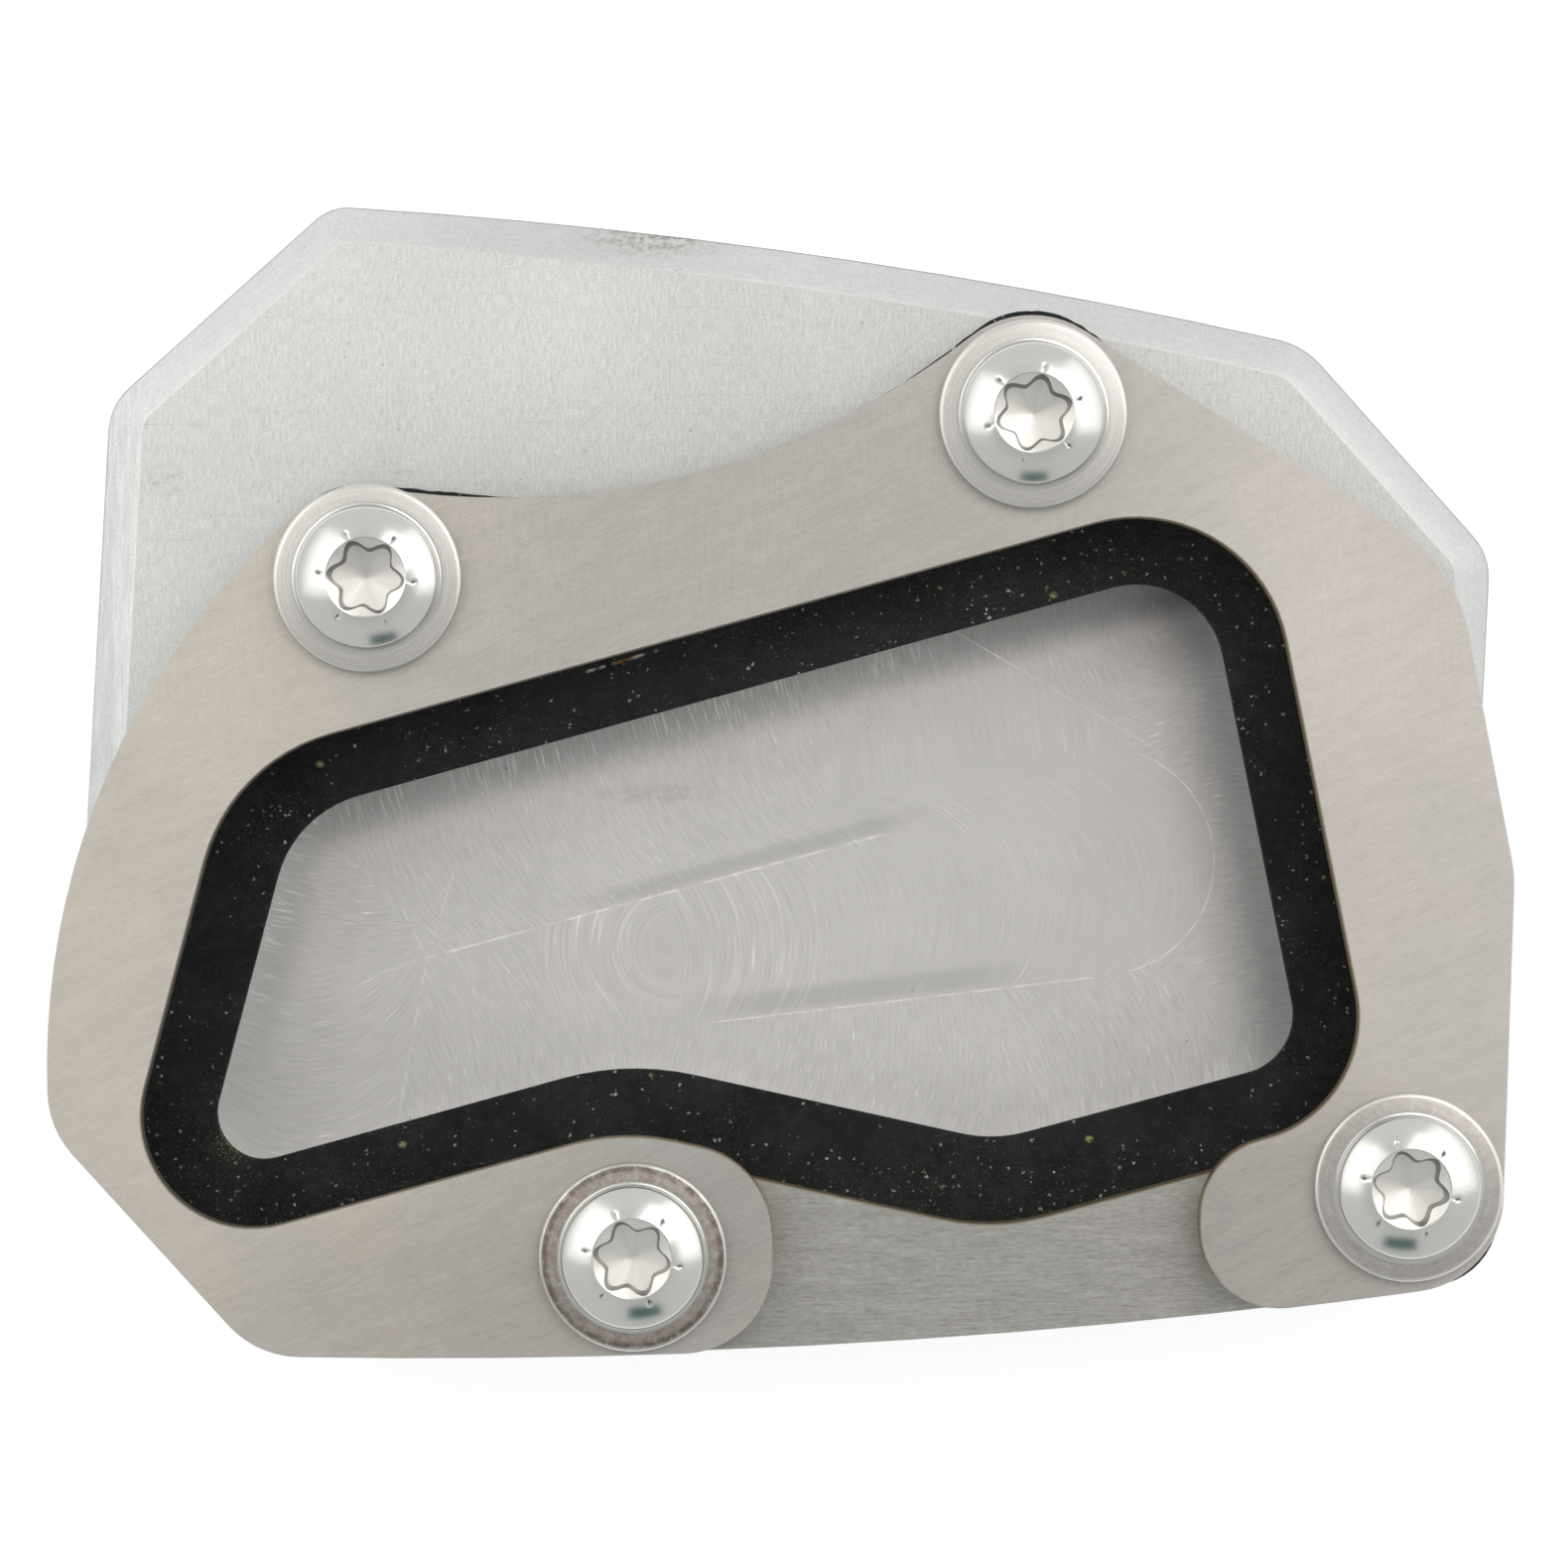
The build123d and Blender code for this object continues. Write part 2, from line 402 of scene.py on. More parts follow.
@dataclass(frozen=True)
class MilledPocket:
    """Finish of the pocket's floor: the cutter's strokes along each wall, its arcs and its path lines, with painted
    shade along the left, back and right walls and a painted pinkish light just past it.
    """

    grey: Colour = shade(207, 205, 203)
    # rosy is the colour of a painted pinkish light just past the painted shade by the walls
    rosy: Colour = shade(209, 204, 201)
    # Corners of the stand's foot, clockwise. The pocket's walls run beside the lines between them.
    corners: tuple[Point, ...] = (
        (-51.05, -37.85), (-40.45, 2.45), (35.65, 23.45), (45.25, -24.75), (15.75, -32.65), (-10.95, -26.8),
    )
    wall_offset: float = 5.8
    wall_jump: float = 61.0  # keeps the patterns of the walls apart
    # Number of a wall, how much painted shade darkens the floor beside it, and where that starts and is whole
    painted_shade_walls: tuple[tuple[int, float, float, float], ...] = (
        (0, 0.1, 3.8, 1.9), (1, 0.17, 4.4, 1.8), (2, 0.33, 6.6, 0.8),
    )
    painted_shade_corner: Spot = ((28.5, 10.8), (8.0, 5.0))
    cutter: float = 9.0
    sweep_middle: float = -34.9
    whirl_turn: float = 9.0
    whirl: Point = (-9.5, -10.8)  # along and across the turn
    bend: Point = (23.5, -6.0)
    bend_radius: float = 8.35
    burst: Point = (-25.95, -13.1)
    burst_ends: tuple[Point, ...] = ((-28.1, -25.3), (-23.8, -6.4), (-30.5, -14.6), (-27.9, -9.2))
    step_end: Point = (8.29, -3.85)
    high_line: Run = ((12.67, 10.94), (27.5, 2.28))
    low_line: Run = ((-4.82, -17.84), (23.0, -14.55))
    smear: Spot = ((-9.2, -1.1), (6.0, 0.9))

    def lanes(self, recipe: Recipe) -> tuple[Field, Field]:
        """Measure from the pocket's nearest wall.

        Args:
            recipe: Material that is being made.

        Returns:
            The level along that wall, with a jump from wall to wall, and the distance from it.
        """
        ragged = (recipe.cloud(recipe.x * 0.6, recipe.y * 0.6, 11.0, 2.0) - 0.5) * 4.0
        walls = []
        for index, corner in enumerate(self.corners):
            along, left = recipe.run(corner, self.corners[(index + 1) % len(self.corners)])
            off = -self.wall_offset - left
            walls.append((along + self.wall_jump * index, off, off + ragged if index % 2 else off))
        notch, low = walls.pop(), walls.pop()
        further = notch[2].over(low[2])
        walls.append(tuple(first.toward(second, further) for first, second in zip(low, notch)))
        best = walls[0]
        for wall in walls[1:]:
            nearer = best[2].over(wall[2])
            best = tuple(first.toward(second, nearer) for first, second in zip(best, wall))
        return best[0], best[1]

    def painted_wall_shade(self, recipe: Recipe) -> Field:
        """Return the painted shade along the left, back and right walls and in the back right corner."""
        dimmed = []
        for index, amount, start, end in self.painted_shade_walls:
            _, left = recipe.run(self.corners[index], self.corners[index + 1])
            dimmed.append((-self.wall_offset - left).rise(start, end) * amount)
        left, back, right = dimmed
        corner = recipe.spot(*self.painted_shade_corner, 0.9) * 0.2
        return (left * recipe.y.rise(-24.0, -9.0)).above(back) + right + back * recipe.x.rise(6.0, 24.0) * 0.9 + corner

    def line(self, recipe: Recipe, start: Point, end: Point, width: float) -> Field:
        """Return a thin line between two points, 1 along its middle."""
        along, left = recipe.run(start, end)
        return left.size().rise(width, 0.2 * width) * along.within(0.0, math.dist(start, end), 0.8)

    def strokes(self, recipe: Recipe, course: Field, side: Field, seed: float) -> tuple[Field, Field]:
        """Return the fine grain and the few glints of strokes, from the levels across and along them and a seed."""
        fine = recipe.cloud(course * 6.0, side * 0.55, seed, 2.0, 0.6)
        return fine, recipe.cloud(course * 5.0, side * 0.6, seed + 6.0, 1.0).rise(0.64, 0.8)

    def paths(self, recipe: Recipe, bend: Field) -> Field:
        """Return the painted highlights on the ridges where the cutter's paths meet, and on the burst where they end.
        """
        x, y = recipe.x, recipe.y
        lines = self.line(recipe, self.burst, self.step_end, 0.13)
        lines = lines.above(self.line(recipe, *self.high_line, 0.11) * (x.rise(21.0, 14.0) * 1.1 + 0.4))
        lines = lines.above(self.line(recipe, *self.low_line, 0.1))
        lines = lines.above((bend - self.bend_radius).size().rise(0.1, 0.03) * x.rise(24.0, 26.5) * y.rise(3.0, 1.0))
        for end in self.burst_ends:
            lines = lines.above(self.line(recipe, self.burst, end, 0.14) * 0.4)
        return lines * recipe.cloud(x * 0.7, y * 0.7, 2.0, 1.0).rise(0.25, 0.65)

    def dress(self) -> Material:
        """Return the material."""
        recipe = Recipe("base_pocket")
        x, y = recipe.x, recipe.y
        along, off = self.lanes(recipe)
        u, v = recipe.turned(self.whirl_turn)
        u, v = u - self.whirl[0], v - self.whirl[1]
        ring, bend = u.hypot(v), (x - self.bend[0]).hypot(y - self.bend[1])
        arc = (u - (self.cutter**2 - v * v).root() + self.cutter).toward(self.cutter - ring, u.rise(0.4, -0.4))
        step_run, step_left = recipe.run(self.burst, self.step_end)
        _, high_left = recipe.run(*self.high_line)
        low_run, low_left = recipe.run(*self.low_line)
        opened = (x.rise(-2.0, 8.0) + step_left.rise(0.2, -0.2) * ring.rise(11.0, 9.0)).below(1.0)
        inside = high_left.rise(2.0, -2.0) * low_left.rise(-0.1, 0.2) * off.rise(3.0, 6.0) * opened
        inside = inside * (bend.rise(8.5, 8.2) + x.rise(27.0, 25.0)).below(1.0)
        lane_fine, lane_glints = self.strokes(recipe, along - (off - 3.0) * (off - 3.0) * 0.03, off, 3.0)
        arc_fine, arc_glints = self.strokes(recipe, arc, v * 0.4, 21.0)
        arc_fine = arc_fine.toward(0.5, x.rise(-2.0, 12.0) * 0.4)
        swept = recipe.cloud(arc * 2.6, v * 0.12, 30.0, 2.0, 0.7).rise(0.5, 0.7) * inside * ring.within(3.0, 12.0, 2.0)
        aside = x - self.sweep_middle
        sweep = y + (self.cutter**2 - aside * aside).root()
        sweep_fine, sweep_glints = self.strokes(recipe, sweep, aside * 0.6, 40.0)
        _, past_burst = recipe.run(self.burst, self.burst_ends[0])
        low_left_corner = past_burst.rise(0.2, -0.6) * y.rise(-11.0, -15.5)
        fine = lane_fine.toward(arc_fine, inside).toward(sweep_fine, low_left_corner)
        glints = lane_glints.toward(arc_glints * 0.6, inside).toward(sweep_glints * 1.3, low_left_corner)
        combed = along.rise(122.0, 100.0) + along.within(187.0, 201.0, 3.0) * 0.8
        comb = recipe.cloud(along * 6.0, off * 0.4, 15.0, 1.0).rise(0.54, 0.7) * off.rise(3.4, 1.0)
        comb = comb * recipe.cloud(along * 0.14, 3.0, 8.0, 1.0).rise(0.3, 0.6) * combed
        zone = recipe.cloud(x * 0.16, y * 0.16, 17.0, 2.0).rise(0.42, 0.62)
        # Painted shade beside the step and the low path line, and a smeared patch above the step.
        step_shade_and_smear = step_left.within(0.2, 1.3, 0.4) * step_run.within(13.0, 36.0, 3.0)
        step_shade_and_smear = step_shade_and_smear.above(low_left.within(0.3, 1.8, 0.5) * low_run.within(0.0, 22.0, 4.0))
        patchy = recipe.cloud(x * 0.7, y * 1.4, 9.0, 2.0).rise(0.4, 0.55)
        step_shade_and_smear = step_shade_and_smear.above(recipe.spot(*self.smear) * patchy * 0.7) * (0.5 + fine)
        patch = recipe.cloud(x * 0.12, y * 0.12, 4.0, 2.0)
        speck, chance, _ = recipe.grains(x * 0.3, y * 0.3)
        dots = (0.03 - speck).rise(0.0, 0.01) * chance.over(0.7)
        # Painted shade darkens the floor by the left, back and right walls, and the comb's strokes carry painted glints
        # that are stronger within it.
        dimmed = self.painted_wall_shade(recipe)
        gleam = 1.0 + (fine - 0.5) * 0.37 + glints * (zone * 0.3 + 0.06) + comb * (0.12 + dimmed * 2.0)
        gleam = gleam + (patch - 0.5) * 0.14 + self.paths(recipe, bend) * 0.26 + swept * 0.11 - step_shade_and_smear * 0.13
        gleam = gleam * (1.0 - dimmed) * (1.0 - dots * 0.5)
        # Painted light: a pinkish band a few millimetres from the walls, in the back half of the pocket.
        colour = recipe.tint(off.within(3.4, 7.0, 1.4) * y.rise(-18.0, -4.0), self.grey, self.rosy)
        return recipe.finish(recipe.scaled(colour, gleam), 0.7, 1.0, fine * 0.6 + glints * 0.4, 0.01)


@dataclass(frozen=True)
class BlackRubber:
    """Finish of the pad: matt black with fine dust, a few larger crumbs and a pale and golden streak under the clamp's
    edge.
    """

    black: Colour = shade(17, 18, 18)
    worn: Colour = shade(42, 44, 43)
    dust: Colour = shade(168, 170, 160)
    crumb: Colour = shade(146, 142, 100)
    brass: Colour = shade(168, 118, 66)
    crumb_places: tuple[Point, ...] = ((-33.5, 1.1), (19.9, 13.4), (-27.5, -26.6), (22.5, -26.2))
    crumb_size: Point = (0.42, 0.34)
    crumb_heap: Spot = ((-39.7, -26.6), (2.6, 2.0))
    dusty_corner: Spot = ((-43.0, -31.0), (10.0, 8.0))
    edge_streak: Run = ((-14.2, 7.8), (-8.7, 9.45))

    def dress(self) -> Material:
        """Return the material."""
        recipe = Recipe("pad_rubber")
        x, y, z = recipe.x, recipe.y, recipe.z
        cloudy = recipe.cloud(x * 0.22, y * 0.22, z * 0.22, 3.0)
        grain = recipe.cloud(x * 5.0, y * 5.0, z * 5.0, 3.0, 0.6)
        jagged = recipe.cloud(x * 7.0, y * 7.0, z * 7.0, 2.0)
        crowd = recipe.cloud(x * 0.18, y * 0.18, 7.0, 3.0).rise(0.42, 0.72)
        crowd = crowd.above(recipe.spot(*self.dusty_corner, 0.9))
        crowd = crowd.above(y.rise(-25.0, -31.0) * 0.7).above(y.rise(3.0, 12.0) * 0.6)
        glow = recipe.cloud(x * 0.9, y * 0.9, 2.0, 2.0).rise(0.35, 0.65) * 0.8 + 0.15
        near, chance, weight = recipe.grains(x * 3.0 + jagged * 1.6, y * 3.0 + grain * 1.6, z * 3.0)
        dusty = (weight * weight * 0.42 - near).rise(0.0, 0.14) * weight.rise(0.2, 0.45)
        dusty = dusty * chance.over(0.76 - crowd * 0.45) * glow
        haze = recipe.cloud(x * 4.5, y * 4.5, z * 4.5, 3.0, 0.75).rise(0.56, 0.76) * (crowd * 0.3 + 0.06)
        wide, luck, bulk = recipe.grains(x * 0.9 + jagged * 0.8, y * 0.9 + grain * 0.8, z * 0.9)
        crumbs = (bulk * 0.17 - wide).rise(0.0, 0.07) * luck.over(0.86 - crowd * 0.36) * grain.rise(0.3, 0.55)
        crumbs = crumbs.above(recipe.spot(*self.crumb_heap, 0.9) * jagged.rise(0.5, 0.68) * 0.7)
        for place in self.crumb_places:
            crumbs = crumbs.above(recipe.spot(place, self.crumb_size, 0.8) * grain.rise(0.36, 0.5))
        run, left = recipe.run(*self.edge_streak)
        streaked = (left + (jagged - 0.5) * 0.3).size().rise(0.16, 0.04) * run.within(0.1, 5.5, 0.3)
        streaked = streaked * recipe.cloud(run * 0.9, 2.0, 4.0, 1.0).rise(0.42, 0.6)
        mottle = recipe.cloud(x * 1.1, y * 1.1, z * 1.1, 4.0, 0.7).rise(0.42, 0.72)
        # The pad is paler towards the back.
        tone_swing = cloudy.rise(0.3, 0.7) * 0.35 + mottle * 0.4 + grain * 0.15 + y.rise(0.0, 9.0) * 0.25
        streak_tint = recipe.tint(run.within(2.2, 3.6, 0.5), self.dust, self.brass)
        dust, crumb = (dusty.above(haze), self.dust), (crumbs * 0.85, self.crumb)
        colour = recipe.layered(self.black, (tone_swing, self.worn), dust, crumb, (streaked, streak_tint))
        recipe.fill(recipe.shader, {"Specular IOR Level": 0.2})
        relief = grain * 0.5 + dusty * 0.4 + crumbs * 0.5
        return recipe.finish(colour, 0.78 + grain * 0.2, 0.0, relief, 0.03)


@dataclass(frozen=True)
class BrushedSteel:
    """Finish of a cut steel plate: brushed faces and scorched inner edges.

    Attributes:
        name: Name of the material.
        stroke: Way that the faces are brushed.
        cool: Colour of the greyer patches.
        warm: Colour of the warmer patches and of the left end.
        rosy: Colour of the right end.
        fine: Strength of the fine strokes.
        soft: Strength of the wide, soft strokes.
        hatch: Strength of the upright strokes that cross the others.
        tone_swing: Strength of the painted light that makes the ends paler and of the painted shade that makes the two
            tabs darker.
        tabs: Patches of painted shade on the right tab, on the left tab and beside it.
        pale_corner: Patch of painted light in the upper right.
    """

    name: str
    stroke: Stroke
    cool: Colour
    warm: Colour
    rosy: Colour
    fine: float
    soft: float
    hatch: float
    tone_swing: float
    scorch: Colour = shade(154, 138, 116)
    soot: Colour = shade(124, 118, 110)
    tabs: tuple[Spot, Spot, Spot] = (
        ((37.0, -33.0), (17.0, 15.0)), ((-3.0, -33.0), (9.0, 10.0)), ((-28.0, -38.0), (22.0, 9.0)),
    )
    pale_corner: Spot = ((37.0, 12.0), (18.0, 17.0))

    def dress(self) -> Material:
        """Return the material."""
        recipe = Recipe(self.name)
        x, y = recipe.x, recipe.y
        along, across = recipe.turned(self.stroke.value)
        strokes = recipe.cloud(along * 0.4, across * 4.5, 1.0, 3.0, 0.65)
        grain = recipe.cloud(along * 1.6, across * 6.0, 7.0, 2.0, 0.6)
        swells = recipe.cloud(along * 0.16, across * 0.9, 4.0, 2.0, 0.6)
        upright = recipe.cloud(x * 6.0, y * 0.4, 2.0, 1.0) - 0.5
        patch = recipe.cloud(x * 0.09, y * 0.09, 3.0, 2.0)
        face = recipe.up.size().rise(0.6, 0.95)
        gleam = 1.0 + ((strokes + grain - 1.0) * self.fine + (swells - 0.5) * self.soft) * (face * 0.8 + 0.2)
        gleam = gleam + upright * patch.rise(0.35, 0.55) * y.rise(-2.0, 12.0) * self.hatch
        near, far, corner = (recipe.spot(*tab, 0.7) for tab in self.tabs)
        tabs = near.above(far * 0.4).above(corner * 0.4)
        # Painted light makes the ends and the upper right paler, and painted shade makes the tabs darker.
        pale = x.size().rise(12.0, 46.0) * 0.6 + recipe.spot(*self.pale_corner, 0.9) * 0.25
        gleam = gleam + (pale - tabs) * self.tone_swing
        warmth = patch.rise(0.35, 0.65) * 0.35 + x.size().rise(5.0, 45.0) * 0.65
        warm = recipe.tint(x.rise(-15.0, 25.0), self.warm, self.rosy)
        edge = recipe.tint((x - y).rise(-25.0, 25.0), self.soot, self.scorch)
        inward = recipe.outward.rise(3.0, -3.0)
        colour = recipe.tint(face, recipe.tint(inward, self.cool, edge), recipe.tint(warmth, self.cool, warm))
        rough = 0.54 + (strokes - 0.5) * 0.16
        return recipe.finish(recipe.scaled(colour, gleam), rough, 1.0, (strokes + grain) * 0.35 + swells * 0.3, 0.008)


@dataclass(frozen=True)
class PlatedSteel:
    """Finish of the screws: bright plating, duller on the flange and rosier on the lower screws, with painted shade on
    the recess's walls and in the dents and painted light on the recess's floor.
    """

    bright: Colour = shade(207, 207, 202)
    # Paler floor of the recess: painted light that stands for its bright reflection.
    pale_recess: Colour = shade(222, 219, 213)
    flange: Colour = shade(209, 206, 201)
    rosy: Colour = shade(160, 149, 142)
    brown: Colour = shade(98, 87, 76)
    shaded: Colour = shade(108, 108, 106)
    dimmed: Colour = shade(150, 148, 145)
    place: str = "own_place"
    band: Point = (5.5, 6.52)
    dome_radius: float = 8.0
    dome_middle: float = -4.156

    def dress(self) -> Material:
        """Return the material."""
        recipe = Recipe("screw_plating", self.place)
        x, y, z = recipe.x, recipe.y, recipe.z
        whole = recipe.node("TexCoord")
        part_x, part_y, _ = recipe.split(Field(recipe, whole.outputs["Object"]))
        low = part_y.rise(0.0, -0.02)
        age = 0.1 + low * 0.42 + low * part_x.rise(0.02, 0.0) * 0.45
        out = x.hypot(y)
        on_flange, in_head = z.rise(0.5, 0.7), z.rise(0.9, 1.1)
        band = out.within(*self.band, 0.06) * on_flange
        turned = recipe.cloud(out * 11.0, x * 0.2, y * 0.2, 2.0)
        blotch = recipe.cloud(x * 1.3, y * 1.3, z, 3.0, 0.7)
        fine = recipe.cloud(x * 6.0, y * 6.0, z * 6.0, 2.0, 0.6)
        spoke_x, spoke_y = (recipe.math("DIVIDE", level, out.above(0.05)) for level in (x, y))
        sheen = recipe.cloud(spoke_x * 1.7, spoke_y * 1.7, part_x * 50.0, 2.0, 0.6)
        grime = out.within(6.15, 6.6, 0.2).above(out.within(5.42, 5.52, 0.1) * 0.5) * on_flange
        grime = grime * age.rise(0.55, 0.95) * (blotch.rise(0.3, 0.6) * 0.6 + fine * 0.4)
        dome = (self.dome_radius**2 - out * out).root() + self.dome_middle
        dented = (dome - z).rise(0.02, 0.1) * out.within(3.0, 4.0, 0.04)
        well = out.rise(2.85, 2.75) * in_head
        wall = recipe.up.rise(0.8, 0.5) * out.rise(3.0, 2.9) * in_head
        flange = recipe.tint((blotch.rise(0.25, 0.7) * 0.5 + 0.6) * age, self.flange, self.rosy)
        colour = recipe.layered(
            self.bright, (band, flange), (grime * 0.9, self.brown), (well, self.pale_recess),
            ((wall * 0.85).above(dented * 0.9), self.shaded), (z.rise(0.1, -0.1), self.dimmed),
        )
        gleam = 1.0 + band * ((fine - 0.5) * (age * 0.5 + 0.28) + (turned - 0.5) * 0.44)
        # Painted light on the recess's floor: a painted sheen, brighter on the lower screws.
        gleam = gleam + well * ((sheen - 0.5) * 0.4 + low * 0.12 - 0.05)
        rough = 0.21 + (band + wall).above(well).above(out.rise(6.5, 6.6)) * 0.16
        return recipe.finish(recipe.scaled(colour, gleam), rough, 1.0, (turned * 0.6 + fine * 0.4) * band, 0.008)


def placed(name: str, data: bpy.types.ID) -> bpy.types.Object:
    """Return a new object with the given data, in the scene."""
    made = bpy.data.objects.new(name, data)
    bpy.context.scene.collection.objects.link(made)
    return made


def shown(name: str, shape: Shape, finishes: list[Material], crease: float) -> bpy.types.Object:
    """Make an object of a shape.

    Args:
        name: Name of the object.
        shape: Shape in metres, in the part's frame. It is freed.
        finishes: Materials of the object, in the order that its faces name them.
        crease: Angle in degrees over which an edge stays sharp.

    Returns:
        The object, in the scene.
    """
    mesh = bpy.data.meshes.new(name)
    shape.to_mesh(mesh)
    shape.free()
    for face in mesh.polygons:
        face.use_smooth = True
    mesh.set_sharp_from_angle(angle=math.radians(crease))
    for finish in finishes:
        mesh.materials.append(finish)
    return placed(name, mesh)


@dataclass(frozen=True)
class Plate:
    """One flat piece: the solid's own outline with its edges broken.

    Attributes:
        node: Solid that the piece stands for.
        slot: Finish that the record names for it. It is not used.
        edge_break: Width of the small bevel along the edges, in millimetres.
        flat: Angle in degrees under which faces that meet are one face.
        sharp: Angle in degrees over which an edge is broken.
        crease: Angle in degrees over which an edge stays sharp.
    """

    node: str
    slot: Slot
    edge_break: float
    flat: float = 0.3
    sharp: float = 30.0
    crease: float = 25.0

    def outline(self) -> Shape:
        """Return a merged copy of the solid, with whole faces in place of loose triangles."""
        shape = bmesh.new()
        shape.from_mesh(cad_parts[self.node].data)
        bmesh.ops.remove_doubles(shape, verts=shape.verts, dist=MERGE * MM)
        bmesh.ops.dissolve_limit(
            shape, angle_limit=math.radians(self.flat), verts=shape.verts, edges=shape.edges, delimit=set(),
        )
        return shape

    def broken(self, shape: Shape) -> Shape:
        """Break the sharp outer edges of a shape, and return it."""
        edges = [
            edge for edge in shape.edges
            if len(edge.link_faces) == 2 and edge.is_convex and edge.calc_face_angle() > math.radians(self.sharp)
        ]
        bmesh.ops.bevel(
            shape, geom=edges, offset=self.edge_break * MM, offset_type="OFFSET", affect="EDGES",
            segments=1, profile=0.5, material=-1, clamp_overlap=False,
        )
        return shape

    def sort_faces(self, shape: Shape) -> None:
        """Give every face the first finish."""
        for face in shape.faces:
            face.material_index = 0

    def build(self, *finishes: Material) -> bpy.types.Object:
        """Build the piece and put it in place of its solid.

        Args:
            finishes: Materials of the piece.

        Returns:
            The piece.
        """
        shape = self.broken(self.outline())
        self.sort_faces(shape)
        piece = shown(self.node + "_dressed", shape, list(finishes), self.crease)
        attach(piece, BODY)
        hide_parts(self.node)
        return piece


@dataclass(frozen=True)
class BasePlate(Plate):
    """The ground plate, whose faces take three finishes: flat, cut and milled."""

    floor_level: float = 7.0

    def sort_faces(self, shape: Shape) -> None:
        """Give the flat faces the first finish, the cut ones the second and the pocket's floor the third."""
        for face in shape.faces:
            height = face.calc_center_median().z / MM
            if abs(face.normal.z) < 0.99:
                face.material_index = 1
            elif face.normal.z > 0 and abs(height - self.floor_level) < 0.2:
                face.material_index = 2
            else:
                face.material_index = 0


@dataclass(frozen=True)
class Fray:
    """A stretch of cut edge that stands out, in millimetres.

    Attributes:
        centre: Middle of the stretch.
        reach: Half of its length and of its height.
        depth: How far it stands out in the middle.
    """

    centre: Point
    reach: Point
    depth: float

    def share(self, place: Vector) -> float:
        """Return how much of the stretch's depth a place has, from 0 outside it to 1 in its middle."""
        first = (place.x / MM - self.centre[0]) / self.reach[0]
        second = (place.y / MM - self.centre[1]) / self.reach[1]
        return max(0.0, 1.0 - first**2 - second**2)


def is_wall(face: bmesh.types.BMFace) -> bool:
    """Tell whether a face stands more upright than level."""
    return abs(face.normal.z) < 0.5


@dataclass(frozen=True)
class RubberPad(Plate):
    """The rubber sheet, whose cut edge stands out and is ragged by the two upper screws, in millimetres."""

    frays: tuple[Fray, ...] = (
        Fray((-25.2, 20.9), (5.2, 2.8), 0.3),
        Fray((12.0, 31.8), (5.0, 3.6), 0.12),
        Fray((22.0, 32.8), (4.2, 2.6), 0.46),
    )
    step: float = 0.5
    tooth: float = 0.9

    def outline(self) -> Shape:
        """Return the merged copy of the solid with its edge frayed."""
        shape = super().outline()
        for fray in self.frays:
            self.pull(shape, fray)
        return shape

    def walls(self, shape: Shape, fray: Fray) -> list:
        """Return the upright faces that a stretch reaches, with their edges and points."""
        faces = [face for face in shape.faces if is_wall(face) and any(fray.share(point.co) for point in face.verts)]
        edges = {edge for face in faces for edge in face.edges}
        return faces + list(edges) + list({point for face in faces for point in face.verts})

    def pull(self, shape: Shape, fray: Fray) -> None:
        """Cut one stretch of the edge into short steps and pull them outwards.

        Args:
            shape: Shape of the pad.
            fray: Stretch of its edge.
        """
        for step in range(round(2 * fray.reach[0] / self.step) + 1):
            place = (fray.centre[0] - fray.reach[0] + step * self.step) * MM
            bmesh.ops.bisect_plane(
                shape, geom=self.walls(shape, fray), dist=0.001 * MM, plane_co=(place, 0, 0), plane_no=(1, 0, 0),
            )
        shape.normal_update()
        pulls = []
        for point in shape.verts:
            outward = sum((face.normal for face in point.link_faces if is_wall(face)), Vector())
            if fray.share(point.co) and outward.y > 0:
                ragged = 0.8 + 0.5 * noise.noise(Vector((point.co.x, point.co.y, 0.0)) / (self.tooth * MM))
                pulls.append((point, outward.normalized() * fray.share(point.co) * fray.depth * ragged * MM))
        for point, pull in pulls:
            point.co += pull
        shape.normal_update()


